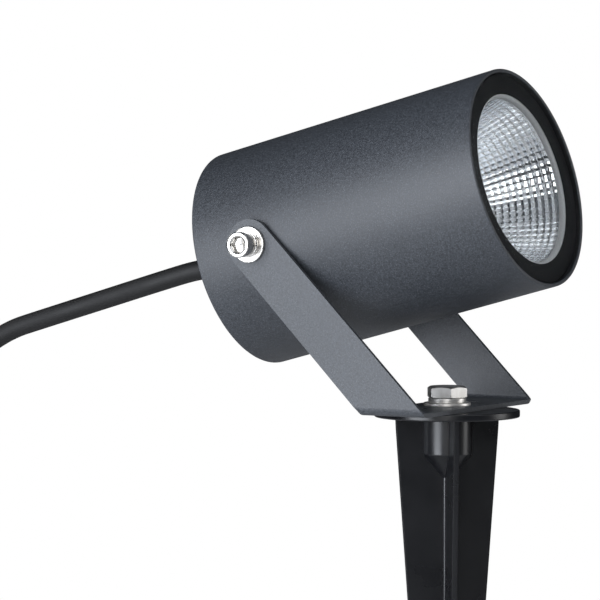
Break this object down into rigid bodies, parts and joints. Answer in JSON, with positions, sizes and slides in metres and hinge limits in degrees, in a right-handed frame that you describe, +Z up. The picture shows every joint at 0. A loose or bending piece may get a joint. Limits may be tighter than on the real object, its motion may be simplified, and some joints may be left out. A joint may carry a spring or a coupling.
{
  "type": "light projector stake",
  "caption": "Garden spike spotlight: a round lamp head with a faceted reflector tilts in a slanted U bracket that swivels on a plastic ground stake; a black cord leaves its rear.",
  "frame": {"origin": "on the stake's axis at ground level, which is the underside of the stake's flange", "axes": "+Z up along the stake, +X the way the lamp shines at rest, +Y to the lamp's left"},
  "size_m": [0.3448, 0.1308, 0.3169],
  "materials": {
    "powder_coat": "fine-textured anthracite powder coat",
    "bracket_powder_coat": "fine-textured anthracite powder coat on steel sheet",
    "tempered_glass": "clear polished tempered glass",
    "black_print": "black ceramic print",
    "silicone": "black silicone rubber",
    "reflector_silver": "bright faceted aluminium",
    "white_plastic": "white moulded plastic",
    "stainless": "turned stainless steel",
    "led_phosphor": "yellow silicone over a ceramic board",
    "thermal_rubber": "grey gap pad",
    "driver_case": "white moulded case, potted",
    "lead_insulation": "coloured wire insulation",
    "gland_plastic": "black moulded nylon",
    "cord_rubber": "matte black rubber sheath",
    "washer_fibre": "black nylon washer",
    "tie_plastic": "black hook-and-loop tie",
    "core_insulation": "brown, blue and green-yellow core insulation",
    "stake_plastic": "satin black moulded plastic",
    "insert_brass": "knurled brass"
  },
  "bodies": {
    "stake": {"stake": "stake_plastic", "threaded_insert": "insert_brass", "swivel_bolt": "stainless", "swivel_flat_washer": "stainless", "swivel_spring_washer": "stainless"},
    "bracket": {"bracket": "bracket_powder_coat", "cord_run": "cord_rubber", "cord_coil": "cord_rubber", "cord_tie": "tie_plastic", "cord_cores": "core_insulation"},
    "head": {"housing": "powder_coat", "front_glass": "tempered_glass", "glass_border": "black_print", "front_gasket": "silicone", "reflector": "reflector_silver", "led_holder": "white_plastic", "holder_screws": "stainless", "led_cob": "led_phosphor", "thermal_pad": "thermal_rubber", "driver": "driver_case", "driver_pad": "thermal_rubber", "led_leads": "lead_insulation", "supply_leads": "lead_insulation", "rear_cover": "powder_coat", "rear_gasket": "silicone", "rear_cover_screws": "stainless", "gland_body": "gland_plastic", "gland_seal": "silicone", "gland_dome_nut": "gland_plastic", "gland_locknut": "gland_plastic", "cord_lead": "cord_rubber", "pivot_screws": "stainless", "pivot_flat_washers": "stainless", "pivot_spring_washers": "stainless", "pivot_friction_washers": "washer_fibre"}
  },
  "joints": [
    {"name": "bracket_swivel", "type": "hinge", "parent": "stake", "child": "bracket", "pos_m": [0, 0, 0], "axis": [0, 0, 1], "range_deg": [-180, 180]},
    {"name": "head_tilt", "type": "hinge", "parent": "bracket", "child": "head", "pos_m": [-0.05401, 0, 0.0583], "axis": [0, -1, 0], "range_deg": [-23, 75]}
  ]
}
